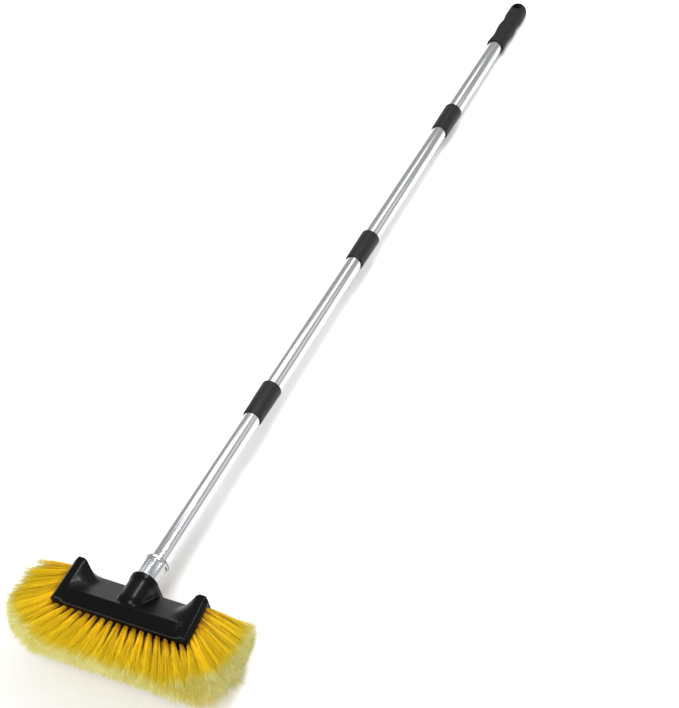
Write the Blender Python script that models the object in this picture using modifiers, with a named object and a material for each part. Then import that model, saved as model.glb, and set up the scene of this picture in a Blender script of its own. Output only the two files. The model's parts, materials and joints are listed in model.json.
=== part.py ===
# Car wash brush: a moulded head with tufts on five faces, screwed on a pole of four tubes.
# Metres, +Z up. The brush lies on the floor as it is put down: the pole runs along +X and comes
# to rest on its grip, and the head rests on the bristle tips of its rear side.
import math

import bmesh
import bpy
from mathutils import Matrix, Vector

# Clearance between pieces that touch or are cut by each other
FIT_GAP = 0.0003
# How far a cutter reaches past the piece that it cuts
OVERRUN = 0.004
# Merge distance for welded points
WELD = 0.00001
# Sides of turned pieces
TURN_STEPS = 40

# How the brush lies: the pole's rise above the head's deck, and its slope down to the grip
POLE_RISE = math.radians(30)
REST_SLOPE = math.radians(3.5)

# Head block, moulded in black plastic
BLOCK_LENGTH = 0.202
BLOCK_WIDTH = 0.080
BLOCK_CORNER = 0.0035
DECK_HEIGHT = 0.021
UNDERSIDE_HEIGHT = 0.0030
FRONT_RIM_HEIGHT = 0.0048
FRONT_SLOPE_RUN = 0.011
REAR_SLOPE_RUN = 0.0055
REAR_TROUGH_HEIGHT = 0.0065
REAR_TROUGH_WIDTH = 0.0018
REAR_LIP_HEIGHT = 0.0085
REAR_LIP_WIDTH = 0.0052
LIP_CHAMFER = 0.0014

# End walls: a ridge that climbs from the front corner to a peak and falls to the rear corner,
# with a sloped shoulder outside it and a cove down to the deck inside it
PEAK_HEIGHT = 0.048
PEAK_OFFSET = 0.013
WALL_FRONT_HEIGHT = 0.0090
WALL_REAR_HEIGHT = 0.0095
WALL_LEAN = 0.003
RIDGE_WIDTH = 0.0088
RIDGE_ROUND_RUN = 0.0042
RIDGE_ROUND_DROP = 0.0028
SHOULDER_RUN = 0.0045
SHOULDER_DROP = 0.0060
SHOULDER_DROP_LIMIT_SHARE = 0.6
COVE_FOOT_PLACE = 0.058
COVE_CENTRE_OFFSET = 0.006
COVE_HALF_WIDTH = 0.037
COVE_END_POWER = 3
COVE_CURVE_POWER = 1.5
COVE_STEPS = 6
SKIRT_DEPTH = 0.0120
SKIRT_OVERHANG = 0.0022

# Boss that takes the pole, with a flared collar round its mouth
MOUTH_OFFSET = 0.026
MOUTH_HEIGHT = 0.0347
MOUTH_RADIUS = 0.0204
FLARE_HALF_WIDTH = 0.026
FLARE_THICKNESS = 0.006
FLARE_FILLET = 0.005
BOSS_RADIUS = 0.0190
BOSS_END_RADIUS = 0.0185
BOSS_LENGTH = 0.054
BOSS_DOME = 0.016
BOSS_FOOT_SPREAD = 0.004
BOSS_ROOT = 0.034
BOSS_END_ROOT = 0.010
SEAT_DEPTH = 0.0050
SEAT_CLEARANCE = 0.0005
ARCH_STEPS = 14
DOME_STEPS = 4

# Tuft-bearing core under the deck, and the slices of it that carry the rows
SLICE_THICKNESS = 0.004
BEVEL_ANGLE = math.radians(54)
BEVEL_START = 0.0345
BEVEL_DROP = 0.0004
SIDE_ROWS = 2
SIDE_ROW_WIDTH = 0.009
BASE_ROWS = 5
END_ROW_HEIGHT = 0.010
END_ROW_REACHES = (0.0325, 0.0265, 0.0165, 0.0085)
END_ROW_COLUMNS = (12, 10, 6, 3)
END_RECESS_MARGIN = 0.0016
ROW_COLUMNS = 32

# Bristles: each strand stands for a tuft, thicker at its tip
STRAND_INSET = 0.0011
TIP_SPREAD_SHARE = 1.35
TUFT_LENGTH = 0.066
END_TUFT_LENGTH = 0.078
TRIM_HEIGHT = 0.076
TRIM_HALF_LENGTH = 0.165
TRIM_HALF_WIDTH = 0.094
TRIM_POWER = 4
TRIM_STEPS = 12
FLOOR_CUT = 0.0005
SIDE_FAN = math.radians(50)
LENGTH_FAN = math.radians(40)
END_FAN = math.radians(42)
END_DROP_TOP = math.radians(12)
END_DROP_BOTTOM = math.radians(48)

# Threaded tip of the pole, moulded in grey plastic
THREAD_RADIUS = 0.0090
THREAD_LENGTH = 0.018
THREAD_LEAD_IN = 0.0006
NECK_RADIUS = 0.0123
NECK_LENGTH = 0.005
SOCKET_CLEARANCE = 0.0004
SOCKET_EXTRA_DEPTH = 0.0013
COUNTERSINK_CLEARANCE = 0.0009
FLANGE_RADIUS = 0.0169
FLANGE_LENGTH = 0.0070
FLANGE_CHAMFER = 0.0022
TIP_RIB_RADIUS = 0.0162
TIP_PANELS = 6
TIP_PANEL_WIDTH = 0.0138
TIP_PANEL_FACE = 0.01515
TIP_PANEL_MARGIN = 0.0010
TIP_LENGTH = 0.0388
TIP_LIP_RADIUS = 0.0172
TIP_LIP_LENGTH = 0.0022
TIP_RIM_LENGTH = 0.0018
TIP_FLOOR = 0.0087

# Rivet that locks the tip on the first tube
RIVET_PLACE = 0.018
RIVET_HEAD_RADIUS = 0.0020
RIVET_HEAD_HEIGHT = 0.0013
RIVET_SHANK_RADIUS = 0.0013

# Tubes of the pole
TUBE_RADIUS = 0.0127
TUBE_WALL = 0.0010
PILOT_RADIUS = 0.0123
PILOT_LENGTH = 0.0145
MIDDLE_LENGTH = 0.395
FIRST_TUBE_SHOWN = 0.283
LAST_LENGTH = 0.379
JOINT_DEPTH = 0.0317

# Couplers: black sleeves that hold one tube and take the thread of the next
COUPLER_LENGTH = 0.066
COUPLER_RADIUS = 0.0147
COUPLER_MOUTH_RADIUS = 0.0156
COUPLER_EDGE = 0.0008
COUPLER_MOUTH_EDGE = 0.0014
COUPLER_WEB = 0.0020
COUPLER_WEB_BORE = 0.0100

# Grip with a hanging hole in its rounded end
GRIP_LENGTH = 0.137
GRIP_RADIUS = 0.0159
GRIP_WAIST_RADIUS = 0.0141
GRIP_SWELL_SHARES = (0.0, 0.425, 0.73)
GRIP_PROFILE_STEPS = 18
GRIP_EDGE = 0.0010
GRIP_SOCKET_DEPTH = 0.095
HOLE_LENGTH = 0.0216
HOLE_WIDTH = 0.0141
HOLE_END_MARGIN = 0.0076
HOLE_STEPS = 11

SKIN_COLOURS = {
    "black_plastic": ((0.018, 0.018, 0.020, 1.0), 0.35, 0.0),
    "bristle": ((0.95, 0.62, 0.03, 1.0), 0.60, 0.0),
    "aluminium": ((0.72, 0.72, 0.72, 1.0), 0.22, 1.0),
    "grey_plastic": ((0.36, 0.37, 0.38, 1.0), 0.40, 0.0),
    "rivet_steel": ((0.12, 0.12, 0.12, 1.0), 0.40, 1.0),
    "grip_rubber": ((0.022, 0.022, 0.022, 1.0), 0.55, 0.0),
}

# Prisms are drawn as (y, z) outlines and stand along x: this turns the outline's plane there
ALONG_X = Matrix(((0, 0, 1, 0), (1, 0, 0, 0), (0, 1, 0, 0), (0, 0, 0, 1)))


def clear_scene():
    for item in list(bpy.data.objects):
        bpy.data.objects.remove(item, do_unlink=True)


def new_collection(name):
    group = bpy.data.collections.new(name)
    bpy.context.scene.collection.children.link(group)
    return group


def skin(name):
    colour, roughness, metallic = SKIN_COLOURS[name]
    material = bpy.data.materials.new(name)
    material.use_nodes = True
    shader = material.node_tree.nodes["Principled BSDF"]
    shader.inputs["Base Color"].default_value = colour
    shader.inputs["Roughness"].default_value = roughness
    shader.inputs["Metallic"].default_value = metallic
    return material


def empty(name, parent=None, location=(0, 0, 0), rotation=(0, 0, 0)):
    frame = bpy.data.objects.new(name, None)
    parts.objects.link(frame)
    frame.parent = parent
    frame.location = location
    frame.rotation_euler = rotation
    return frame


def add_object(name, mesh, parent, skin_name=None):
    """A part with its material, or a cutter when it has no skin."""
    item = bpy.data.objects.new(name, mesh)
    item.parent = parent
    if skin_name:
        parts.objects.link(item)
        mesh.materials.append(skins[skin_name])
    else:
        cutters.objects.link(item)
        item.hide_render = True
        item.display_type = 'WIRE'
    return item


def mesh_from(bm, name):
    mesh = bpy.data.meshes.new(name)
    bm.to_mesh(mesh)
    bm.free()
    return mesh


def combine(target, other, operation):
    modifier = target.modifiers.new(other.name, 'BOOLEAN')
    modifier.operation = operation
    modifier.object = other
    modifier.solver = 'EXACT'


def prism(name, outline, start, end, parent, turn=ALONG_X):
    """A flat outline given thickness from start to end, as a filled 2D curve made a mesh."""
    curve = bpy.data.curves.new(name, 'CURVE')
    curve.dimensions = '2D'
    curve.fill_mode = 'BOTH'
    curve.extrude = (end - start) / 2
    spline = curve.splines.new('POLY')
    spline.points.add(len(outline) - 1)
    for point, (across, up) in zip(spline.points, outline):
        point.co = (across, up, 0, 1)
    spline.use_cyclic_u = True
    drawn = bpy.data.objects.new(name, curve)
    cutters.objects.link(drawn)
    seen = drawn.evaluated_get(bpy.context.evaluated_depsgraph_get())
    mesh = bpy.data.meshes.new_from_object(seen)
    bpy.data.objects.remove(drawn)
    bm = bmesh.new()
    bm.from_mesh(mesh)
    bmesh.ops.remove_doubles(bm, verts=bm.verts[:], dist=WELD)
    bmesh.ops.translate(bm, verts=bm.verts[:], vec=(0, 0, (start + end) / 2))
    bmesh.ops.transform(bm, verts=bm.verts[:], matrix=turn)
    bmesh.ops.recalc_face_normals(bm, faces=bm.faces[:])
    return add_object(name, mesh_from(bm, name), parent)


def lathe(name, profile, parent, skin_name=None, closed=False, steps=TURN_STEPS):
    """A turned piece: (radius, height) points down its outer side, revolved about local Z."""
    mesh = bpy.data.meshes.new(name)
    edges = [(i, i + 1) for i in range(len(profile) - 1)]
    if closed:
        edges.append((len(profile) - 1, 0))
    mesh.from_pydata([(radius, 0, height) for radius, height in profile], edges, [])
    item = add_object(name, mesh, parent, skin_name)
    screw = item.modifiers.new("turn", 'SCREW')
    screw.axis = 'Z'
    screw.steps = steps
    screw.render_steps = steps
    screw.use_merge_vertices = True
    screw.merge_threshold = WELD
    screw.use_smooth_shade = True
    return item


def rounded_rectangle(length, width, radius, steps=5):
    points = []
    for quarter in range(4):
        side = math.pi / 2 * quarter
        centre_x = (length / 2 - radius) * (1 if quarter in (0, 3) else -1)
        centre_y = (width / 2 - radius) * (1 if quarter in (0, 1) else -1)
        for step in range(steps + 1):
            angle = side + math.pi / 2 * step / steps
            points.append((centre_x + radius * math.cos(angle), centre_y + radius * math.sin(angle)))
    return points


def lean(item):
    """Leans an end wall, its recess or a cutter inward with height, on both ends alike."""
    for vertex in item.data.vertices:
        side = 1 if vertex.co.x > 0 else -1
        vertex.co.x -= side * WALL_LEAN / PEAK_HEIGHT * vertex.co.z


def front_edge():
    """Where the front slope meets the deck."""
    return -BLOCK_WIDTH / 2 + FRONT_SLOPE_RUN


def between(value, start, end, low, high):
    share = min(1, max(0, (value - start) / (end - start)))
    return low + share * (high - low)


def deck_height(across):
    """Height of the block's moulded section at a distance across the head."""
    points = deck_section()
    for (start, low), (end, high) in zip(points, points[1:]):
        if across <= end:
            return between(across, start, end, low, high)
    return points[-1][1]


def roof_height(across):
    """Height of the end wall's ridge at a distance across the head."""
    half = BLOCK_WIDTH / 2
    if across <= PEAK_OFFSET:
        return between(across, -half, PEAK_OFFSET, WALL_FRONT_HEIGHT, PEAK_HEIGHT)
    return between(across, PEAK_OFFSET, half, PEAK_HEIGHT, WALL_REAR_HEIGHT)


def deck_section():
    """The block's moulded section from front to rear: slope, deck, trough and raised lip."""
    half = BLOCK_WIDTH / 2
    lip_start = half - REAR_LIP_WIDTH
    trough_start = lip_start - REAR_TROUGH_WIDTH
    return [
        (-half, FRONT_RIM_HEIGHT),
        (front_edge(), DECK_HEIGHT),
        (trough_start - REAR_SLOPE_RUN, DECK_HEIGHT),
        (trough_start, REAR_TROUGH_HEIGHT),
        (lip_start, REAR_TROUGH_HEIGHT),
        (lip_start + LIP_CHAMFER, REAR_LIP_HEIGHT),
        (half - LIP_CHAMFER, REAR_LIP_HEIGHT),
        (half, REAR_LIP_HEIGHT - LIP_CHAMFER),
    ]


def relief_rows():
    """Distances across the head at which its relief is drawn: the section's corners and the wall."""
    corners = [across for across, up in deck_section()]
    rows = corners + [PEAK_OFFSET, -BLOCK_WIDTH / 2 - OVERRUN, BLOCK_WIDTH / 2 + OVERRUN]
    for start, end in ((front_edge(), PEAK_OFFSET), (PEAK_OFFSET, corners[2])):
        rows += [start + (end - start) * step / COVE_STEPS for step in range(1, COVE_STEPS)]
    return sorted(rows)


def wall_section(across):
    """Places and heights from the deck's middle to past the end, at a distance across the head."""
    top = roof_height(across)
    base = deck_height(across)
    outer = BLOCK_LENGTH / 2 - WALL_LEAN * top / PEAK_HEIGHT
    land_outer = outer - SHOULDER_RUN
    land_inner = land_outer - RIDGE_WIDTH
    brow = land_inner - RIDGE_ROUND_RUN
    brow_height = top - RIDGE_ROUND_DROP if top - RIDGE_ROUND_DROP > base else min(top, base)
    spread = abs(across - COVE_CENTRE_OFFSET) / COVE_HALF_WIDTH
    foot = COVE_FOOT_PLACE + (brow - COVE_FOOT_PLACE) * min(1, spread ** COVE_END_POWER)
    foot = min(foot, brow - RIDGE_ROUND_RUN)
    section = []
    for step in range(COVE_STEPS + 1):
        share = step / COVE_STEPS
        rise = (brow_height - base) * share ** COVE_CURVE_POWER
        section.append((foot + (brow - foot) * share, base + rise))
    drop = min(SHOULDER_DROP, SHOULDER_DROP_LIMIT_SHARE * top)
    section += [(land_inner, top), (land_outer, top), (outer, top - drop)]
    section.append((outer + OVERRUN, top - drop))
    return section


def relief_mesh():
    """The block's whole upper surface, deck, coves and ridges, given thickness down to the rim."""
    rows = relief_rows()
    side_columns = len(wall_section(0))
    bm = bmesh.new()
    bmesh.ops.create_grid(bm, x_segments=2 * side_columns - 1, y_segments=len(rows) - 1, size=0.5)
    for vert in bm.verts:
        column = round((vert.co.x + 0.5) * (2 * side_columns - 1))
        across = rows[round((vert.co.y + 0.5) * (len(rows) - 1))]
        side = 1 if column >= side_columns else -1
        place, up = wall_section(across)[column - side_columns if side > 0 else side_columns - 1 - column]
        vert.co = (side * place, across, up)
    grown = bmesh.ops.extrude_face_region(bm, geom=bm.faces[:])["geom"]
    for item in grown:
        if isinstance(item, bmesh.types.BMVert):
            item.co.z = UNDERSIDE_HEIGHT
    bmesh.ops.recalc_face_normals(bm, faces=bm.faces[:])
    return mesh_from(bm, "head_block")


def along_bevel(distance, outward=0.0):
    """A point on the front bevel of the core: distance down it, and outward from its inner line."""
    run = Vector((math.cos(BEVEL_ANGLE), -math.sin(BEVEL_ANGLE)))
    out = Vector((-math.sin(BEVEL_ANGLE), -math.cos(BEVEL_ANGLE)))
    start = Vector((-BEVEL_START, UNDERSIDE_HEIGHT - BEVEL_DROP))
    return start + run * distance + out * outward


def bevel_length():
    return SIDE_ROWS * SIDE_ROW_WIDTH + (SIDE_ROWS - 1) * FIT_GAP


def core_outline():
    top_rise = FIT_GAP + BEVEL_DROP
    start = along_bevel(-top_rise / math.sin(BEVEL_ANGLE), -FIT_GAP)
    end = along_bevel(bevel_length(), -FIT_GAP)
    return [(start.x, start.y), (end.x, end.y), (-end.x, end.y), (-start.x, start.y)]


def core_bottom():
    return along_bevel(bevel_length(), -FIT_GAP).y


def field_face():
    """Where the outer face of the end slices stands, at deck foot height."""
    return BLOCK_LENGTH / 2 - SKIRT_OVERHANG


def recess_outline():
    """Opening under the end wall's skirt that the end slices fill."""
    reach = END_ROW_REACHES[0] + END_RECESS_MARGIN
    low = core_bottom() - OVERRUN * 3
    drop = SKIRT_DEPTH - FIT_GAP
    corners = (-reach, front_edge(), PEAK_OFFSET, reach)
    return [(-reach, low)] + [(across, roof_height(across) - drop) for across in corners] + [(reach, low)]


def arch_section(bm, place, radius, foot, root):
    """One section of the boss, square to the pole: an arch on two legs that end in the block."""
    points = [(-foot, root)]
    for step in range(ARCH_STEPS + 1):
        angle = math.pi * step / ARCH_STEPS
        points.append((-radius * math.cos(angle), -radius * math.sin(angle)))
    points.append((foot, root))
    ring = [bm.verts.new((across, down, place)) for across, down in points]
    return [bm.edges.new((ring[i - 1], ring[i])) for i in range(len(ring))]


def boss_mesh():
    sections = [
        (0.0, MOUTH_RADIUS, FLARE_HALF_WIDTH, BOSS_ROOT),
        (-FLARE_THICKNESS, MOUTH_RADIUS, FLARE_HALF_WIDTH, BOSS_ROOT),
        (-FLARE_THICKNESS - FLARE_FILLET, BOSS_RADIUS, BOSS_RADIUS + BOSS_FOOT_SPREAD,
         BOSS_ROOT - FLARE_FILLET),
    ]
    straight = BOSS_LENGTH - BOSS_DOME
    for step in range(DOME_STEPS + 1):
        angle = math.pi / 2 * step / DOME_STEPS
        radius = BOSS_END_RADIUS - BOSS_DOME * (1 - math.cos(angle))
        place = -straight - BOSS_DOME * math.sin(angle)
        sections.append((place, radius, radius + BOSS_FOOT_SPREAD, BOSS_END_ROOT))
    bm = bmesh.new()
    rings = [arch_section(bm, *section) for section in sections]
    for ring, following in zip(rings, rings[1:]):
        bmesh.ops.bridge_loops(bm, edges=ring + following)
    bmesh.ops.contextual_create(bm, geom=rings[0])
    bmesh.ops.contextual_create(bm, geom=rings[-1])
    bmesh.ops.recalc_face_normals(bm, faces=bm.faces[:])
    return mesh_from(bm, "boss")


def make_head_block():
    half = BLOCK_LENGTH / 2
    block = add_object("head_block", relief_mesh(), head_frame, "black_plastic")
    plan = rounded_rectangle(BLOCK_LENGTH, BLOCK_WIDTH, BLOCK_CORNER)
    boss = add_object("boss", boss_mesh(), socket_frame)
    combine(block, boss, 'UNION')
    outline = prism("plan", plan, -OVERRUN, PEAK_HEIGHT + 2 * OVERRUN, head_frame, Matrix())
    lean(outline)
    combine(block, outline, 'INTERSECT')
    core_end = field_face() - SLICE_THICKNESS - 2 * FIT_GAP
    core = prism("core", core_outline(), -core_end, core_end, head_frame)
    combine(block, core, 'UNION')
    for side in (-1, 1):
        face = field_face() - SLICE_THICKNESS - FIT_GAP
        start, end = sorted((side * face, side * (half + WALL_LEAN + OVERRUN)))
        recess = prism(f"recess_{side}", recess_outline(), start, end, head_frame)
        lean(recess)
        combine(block, recess, 'DIFFERENCE')
    depth = SEAT_DEPTH + NECK_LENGTH + THREAD_LENGTH + SOCKET_EXTRA_DEPTH
    bore = THREAD_RADIUS + SOCKET_CLEARANCE
    mouth = NECK_RADIUS + COUNTERSINK_CLEARANCE
    seat = FLANGE_RADIUS + SEAT_CLEARANCE
    cone_end = SEAT_DEPTH + NECK_LENGTH + FIT_GAP
    socket = lathe(
        "socket",
        [(0, OVERRUN), (seat, OVERRUN), (seat, -SEAT_DEPTH), (mouth, -SEAT_DEPTH), (bore, -cone_end),
         (bore, -depth), (0, -depth)],
        socket_frame,
    )
    combine(block, socket, 'DIFFERENCE')
    return block


def strand_direction(kind, point, across_share):
    """The way a tuft points: rows fan out along the head and across it."""
    if kind == "end":
        side = 1 if point.x > 0 else -1
        fan = point.y / (BLOCK_WIDTH / 2) * END_FAN
        down = (PEAK_HEIGHT - point.z) / (PEAK_HEIGHT - core_bottom())
        drop = END_DROP_TOP + down * (END_DROP_BOTTOM - END_DROP_TOP)
        return Vector((side, math.tan(fan), -math.tan(drop))).normalized()
    lengthwise = point.x / (BLOCK_LENGTH / 2) * LENGTH_FAN
    crosswise = across_share * SIDE_FAN
    return Vector((math.tan(lengthwise), math.sin(crosswise), -math.cos(crosswise))).normalized()


def inside_trim(tip):
    """True within the rounded outline that the bristles are trimmed to, seen from above."""
    lengthwise = abs(tip.x) / TRIM_HALF_LENGTH
    crosswise = abs(tip.y) / TRIM_HALF_WIDTH
    return lengthwise ** TRIM_POWER + crosswise ** TRIM_POWER <= 1


def strand_length(kind, point, direction):
    """A tuft ends at its own length, at the trimmed shape of the head, or at the floor."""
    length = END_TUFT_LENGTH
    if kind != "end":
        spread = Vector((0, direction.y, direction.z)).length
        length = TUFT_LENGTH / spread
    if direction.z < 0:
        length = min(length, (point.z + TRIM_HEIGHT) / -direction.z)
    height = (head_to_world @ point).z
    fall = -(head_to_world.to_3x3() @ direction).z
    if fall > 0:
        length = min(length, (height + FLOOR_CUT) / fall)
    if not inside_trim(point + direction * length):
        shortest = 0
        for step in range(TRIM_STEPS):
            middle = (shortest + length) / 2
            if inside_trim(point + direction * middle):
                shortest = middle
            else:
                length = middle
    return length


def stand_on_floor(point, direction):
    """Moves a tip corner that would lie under the floor back along its strand."""
    height = (head_to_world @ point).z
    fall = -(head_to_world.to_3x3() @ direction).z
    if height < 0 and fall > 0:
        return point + direction * (height / fall)
    return point


def bristle_row(name, kind, columns, outer, inner, across_share=0.0):
    """One row of tufts, fused to the slice of the block that carries it.

    outer(u, v) and inner(u, v) give the slice's two faces, u along the row and v across it."""
    bm = bmesh.new()
    bmesh.ops.create_grid(bm, x_segments=columns, y_segments=1, size=0.5)
    shares = {vert: (vert.co.x + 0.5, vert.co.y + 0.5) for vert in bm.verts}
    grown = bmesh.ops.extrude_face_region(bm, geom=bm.faces[:])["geom"]
    tops = [item for item in grown if isinstance(item, bmesh.types.BMVert)]
    faces = [item for item in grown if isinstance(item, bmesh.types.BMFace)]
    for vert in tops:
        vert.co = outer(vert.co.x + 0.5, vert.co.y + 0.5)
    for vert, (along, across) in shares.items():
        vert.co = inner(along, across)
    bmesh.ops.recalc_face_normals(bm, faces=bm.faces[:])
    if bm.calc_volume(signed=True) < 0:
        bmesh.ops.reverse_faces(bm, faces=bm.faces[:])
    bmesh.ops.inset_individual(bm, faces=faces, thickness=STRAND_INSET, use_even_offset=True)
    caps = bmesh.ops.extrude_discrete_faces(bm, faces=faces)["faces"]
    for cap in caps:
        centre = cap.calc_center_median()
        direction = strand_direction(kind, centre, across_share)
        reach = strand_length(kind, centre, direction)
        for vert in cap.verts:
            tip = centre + (vert.co - centre) * TIP_SPREAD_SHARE + direction * reach
            vert.co = stand_on_floor(tip, direction)
    return add_object(name, mesh_from(bm, name), head_frame, "bristle")


def make_side_row(name, side, row):
    """A row on the front or rear bevel: row 0 lies right under the rim."""
    first = row * (SIDE_ROW_WIDTH + FIT_GAP)
    half = field_face() - SLICE_THICKNESS - FIT_GAP

    def face(outward):
        def place(along, across):
            point = along_bevel(first + across * SIDE_ROW_WIDTH, outward)
            return Vector(((along - 0.5) * 2 * half, -side * point.x, point.y))
        return place

    share = side * (1 - (row + 0.5) / (SIDE_ROWS + BASE_ROWS / 2))
    return bristle_row(name, "long", ROW_COLUMNS, face(SLICE_THICKNESS), face(0.0), share)


def make_base_row(name, row):
    """A row on the flat underside, numbered from the front."""
    half = field_face() - SLICE_THICKNESS - FIT_GAP
    reach = -along_bevel(bevel_length(), 0.0).x - FIT_GAP
    width = (2 * reach - (BASE_ROWS - 1) * FIT_GAP) / BASE_ROWS
    first = -reach + row * (width + FIT_GAP)
    top = core_bottom() - FIT_GAP

    def face(drop):
        def place(along, across):
            return Vector(((along - 0.5) * 2 * half, first + across * width, top - drop))
        return place

    share = (row + 0.5 - BASE_ROWS / 2) / (SIDE_ROWS + BASE_ROWS / 2)
    return bristle_row(name, "long", ROW_COLUMNS, face(SLICE_THICKNESS), face(0.0), share)


def make_end_row(name, side, row):
    """A row on an end face that follows the ridge: row 0 lies under the skirt."""
    reach = END_ROW_REACHES[row]
    columns = END_ROW_COLUMNS[row]
    drop = SKIRT_DEPTH + row * (END_ROW_HEIGHT + FIT_GAP)
    start, end = -reach, reach
    if row:
        start = PEAK_OFFSET - reach * (1 + 2 * PEAK_OFFSET / BLOCK_WIDTH)
        end = PEAK_OFFSET + reach * (1 - 2 * PEAK_OFFSET / BLOCK_WIDTH)

    turn_share = round(columns * (PEAK_OFFSET - start) / (end - start)) / columns

    def face(depth):
        def place(along, across):
            if along < turn_share:
                y = start + (PEAK_OFFSET - start) * along / turn_share
            else:
                y = end - (end - PEAK_OFFSET) * (1 - along) / (1 - turn_share)
            z = roof_height(y) - drop - across * END_ROW_HEIGHT
            x = field_face() - depth - WALL_LEAN / PEAK_HEIGHT * z
            return Vector((side * x, y, z))
        return place

    return bristle_row(name, "end", columns, face(0.0), face(SLICE_THICKNESS))


def make_tip_connector():
    bore = TUBE_RADIUS + FIT_GAP
    base = FIT_GAP
    top = base + TIP_LENGTH
    lip_start = top - TIP_LIP_LENGTH
    rim_start = lip_start - TIP_RIM_LENGTH
    flange_top = base + FLANGE_LENGTH
    neck_end = base - NECK_LENGTH
    thread_end = neck_end - THREAD_LENGTH
    profile = [
        (0, base + TIP_FLOOR),
        (bore, base + TIP_FLOOR),
        (bore, top),
        (TIP_LIP_RADIUS, top),
        (TIP_LIP_RADIUS, lip_start + THREAD_LEAD_IN),
        (TIP_RIB_RADIUS, lip_start),
        (TIP_RIB_RADIUS, flange_top),
        (FLANGE_RADIUS, flange_top - THREAD_LEAD_IN),
        (FLANGE_RADIUS, base + FLANGE_CHAMFER),
        (FLANGE_RADIUS - FLANGE_CHAMFER, base),
        (NECK_RADIUS, base),
        (THREAD_RADIUS, neck_end),
        (THREAD_RADIUS, thread_end + THREAD_LEAD_IN),
        (THREAD_RADIUS - THREAD_LEAD_IN, thread_end),
        (0, thread_end),
    ]
    tip = lathe("tip_connector", profile, pole_frame, "grey_plastic")
    start = flange_top + TIP_PANEL_MARGIN
    end = rim_start - TIP_PANEL_MARGIN
    for index in range(TIP_PANELS):
        angle = 2 * math.pi * index / TIP_PANELS
        half = TIP_PANEL_WIDTH / 2
        outline = [
            (TIP_PANEL_FACE, -half),
            (TIP_LIP_RADIUS + OVERRUN, -half),
            (TIP_LIP_RADIUS + OVERRUN, half),
            (TIP_PANEL_FACE, half),
        ]
        turn = Matrix.Rotation(angle, 4, 'Z')
        combine(tip, prism(f"panel_{index}", outline, start, end, pole_frame, turn), 'DIFFERENCE')
    hole_radius = RIVET_SHANK_RADIUS + FIT_GAP
    hole = lathe(
        "rivet_hole",
        [(0, FLANGE_RADIUS + OVERRUN), (hole_radius, FLANGE_RADIUS + OVERRUN),
         (hole_radius, TUBE_RADIUS - OVERRUN), (0, TUBE_RADIUS - OVERRUN)],
        pole_frame, steps=TURN_STEPS // 2,
    )
    hole.location = (0, 0, base + RIVET_PLACE)
    turned_to_panel(hole)
    combine(tip, hole, 'DIFFERENCE')
    return tip


def turned_to_panel(item):
    """Points a rivet piece, made along Z, outward through the middle of a panel, at the left."""
    item.rotation_euler = (0, -math.pi / 2, 0)


def make_tip_rivet():
    head_base = TIP_PANEL_FACE + FIT_GAP
    shank_end = TUBE_RADIUS + 2 * FIT_GAP
    profile = [(0, head_base + RIVET_HEAD_HEIGHT)]
    for step in range(1, DOME_STEPS + 1):
        angle = math.pi / 2 * step / DOME_STEPS
        profile.append((RIVET_HEAD_RADIUS * math.sin(angle), head_base + RIVET_HEAD_HEIGHT * math.cos(angle)))
    profile += [(RIVET_SHANK_RADIUS, head_base), (RIVET_SHANK_RADIUS, shank_end), (0, shank_end)]
    rivet = lathe("tip_rivet", profile, pole_frame, "rivet_steel", steps=TURN_STEPS // 2)
    rivet.location = (0, 0, FIT_GAP + RIVET_PLACE)
    turned_to_panel(rivet)
    return rivet


def make_tube(name, start, end, piloted):
    """A drawn tube; all but the first have a drawn-in pilot ahead of their rolled thread."""
    bore = TUBE_RADIUS - TUBE_WALL
    profile = [(bore, end), (TUBE_RADIUS, end)]
    if piloted:
        taper = TUBE_RADIUS - PILOT_RADIUS
        pilot_bore = PILOT_RADIUS - TUBE_WALL
        profile += [
            (TUBE_RADIUS, start + PILOT_LENGTH + taper), (PILOT_RADIUS, start + PILOT_LENGTH),
            (PILOT_RADIUS, start), (pilot_bore, start), (pilot_bore, start + PILOT_LENGTH),
            (bore, start + PILOT_LENGTH + taper),
        ]
    else:
        profile += [(TUBE_RADIUS, start), (bore, start)]
    return lathe(name, profile, pole_frame, "aluminium", closed=True)


def make_coupler(name, mouth):
    base = mouth - COUPLER_LENGTH
    bore = TUBE_RADIUS + FIT_GAP
    web_end = mouth - JOINT_DEPTH - FIT_GAP
    web_start = web_end - COUPLER_WEB
    profile = [
        (COUPLER_WEB_BORE, web_end),
        (bore, web_end),
        (bore, mouth - COUPLER_EDGE),
        (bore + COUPLER_EDGE, mouth),
        (COUPLER_MOUTH_RADIUS - COUPLER_MOUTH_EDGE, mouth),
        (COUPLER_MOUTH_RADIUS, mouth - COUPLER_MOUTH_EDGE),
        (COUPLER_RADIUS, base + COUPLER_EDGE),
        (COUPLER_RADIUS - COUPLER_EDGE, base),
        (bore, base),
        (bore, web_start),
        (COUPLER_WEB_BORE, web_start),
    ]
    return lathe(name, profile, pole_frame, "black_plastic", closed=True)


def grip_radius(share):
    """The grip swells at its ends and middle, and draws in at two waists."""
    first, middle, last = GRIP_SWELL_SHARES
    if share >= last:
        return GRIP_RADIUS
    start, end = (first, middle) if share < middle else (middle, last)
    waist = (1 - math.cos(2 * math.pi * (share - start) / (end - start))) / 2
    return GRIP_RADIUS - (GRIP_RADIUS - GRIP_WAIST_RADIUS) * waist


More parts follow.
